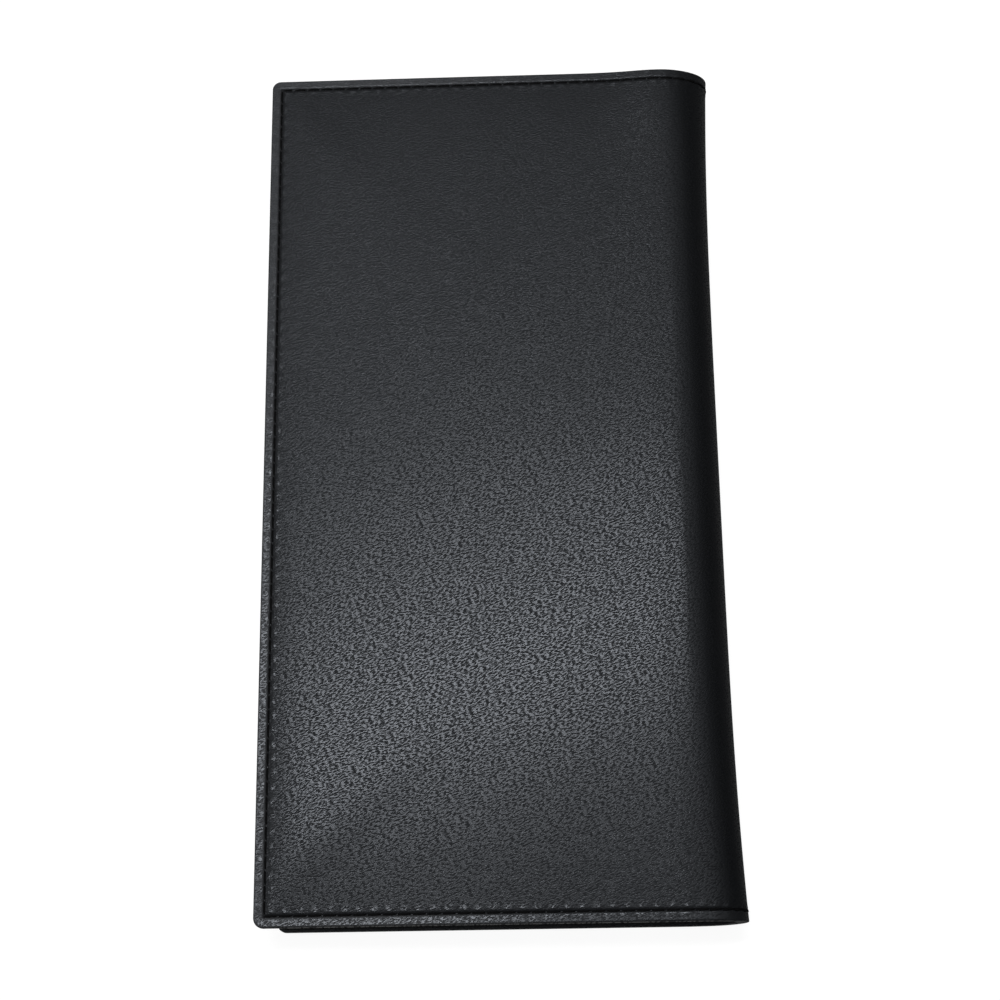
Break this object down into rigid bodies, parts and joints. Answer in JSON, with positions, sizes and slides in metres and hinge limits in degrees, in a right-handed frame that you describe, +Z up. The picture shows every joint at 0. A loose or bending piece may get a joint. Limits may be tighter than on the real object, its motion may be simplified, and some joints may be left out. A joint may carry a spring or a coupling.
{
  "type": "rodeo wallet",
  "caption": "Long black leather bifold wallet that opens like a book, with card slots, full-length slip pockets and a turning identity-card window.",
  "frame": {"origin": "middle of the closed wallet's footprint, on the surface that it lies on", "axes": "+X from the fore-edge to the spine, +Y along the wallet to its head, +Z up out of the back cover"},
  "size_m": [0.0996, 0.191, 0.0166],
  "materials": {
    "cover_leather": "smooth pebbled black leather, satin",
    "inner_leather": "smooth black leather, satin",
    "lining_cloth": "woven black lining",
    "board": "plain fibre board",
    "thread": "waxed black thread",
    "vinyl": "clear soft vinyl"
  },
  "bodies": {
    "front_leaf": {"front_cover": "cover_leather", "front_board": "board", "front_lining": "lining_cloth", "check_pocket": "inner_leather", "front_seam": "thread", "wing_tab": "inner_leather"},
    "spine": {"spine_cover": "cover_leather", "spine_lining": "lining_cloth", "spine_head_seam": "thread", "spine_foot_seam": "thread"},
    "back_leaf": {"back_cover": "cover_leather", "back_seam": "thread", "back_board": "board", "back_lining": "lining_cloth", "bill_pocket": "inner_leather", "card_slot_1": "inner_leather", "card_slot_2": "inner_leather", "card_slot_3": "inner_leather", "card_slot_4": "inner_leather", "card_slot_5": "inner_leather", "card_pocket": "inner_leather"},
    "id_wing": {"wing_back": "inner_leather", "wing_window": "vinyl", "wing_frame": "inner_leather"}
  },
  "joints": [
    {"name": "spine_fold", "type": "hinge", "parent": "front_leaf", "child": "spine", "pos_m": [0.04887, 0, 0.00273], "axis": [0, 1, 0], "range_deg": [0, 107.16]},
    {"name": "back_fold", "type": "hinge", "parent": "spine", "child": "back_leaf", "pos_m": [0.04582, 0, 0.01456], "axis": [0, 1, 0], "range_deg": [0, 74.05]},
    {"name": "wing_turn", "type": "hinge", "parent": "front_leaf", "child": "id_wing", "pos_m": [0.03613, 0, 0.0052], "axis": [0, 1, 0], "range_deg": [0, 90]}
  ],
  "couplings": [
    {"joint": "back_fold", "follows": "spine_fold", "ratio": 0.69092},
    {"joint": "wing_turn", "follows": "spine_fold", "ratio": 0.8398}
  ]
}
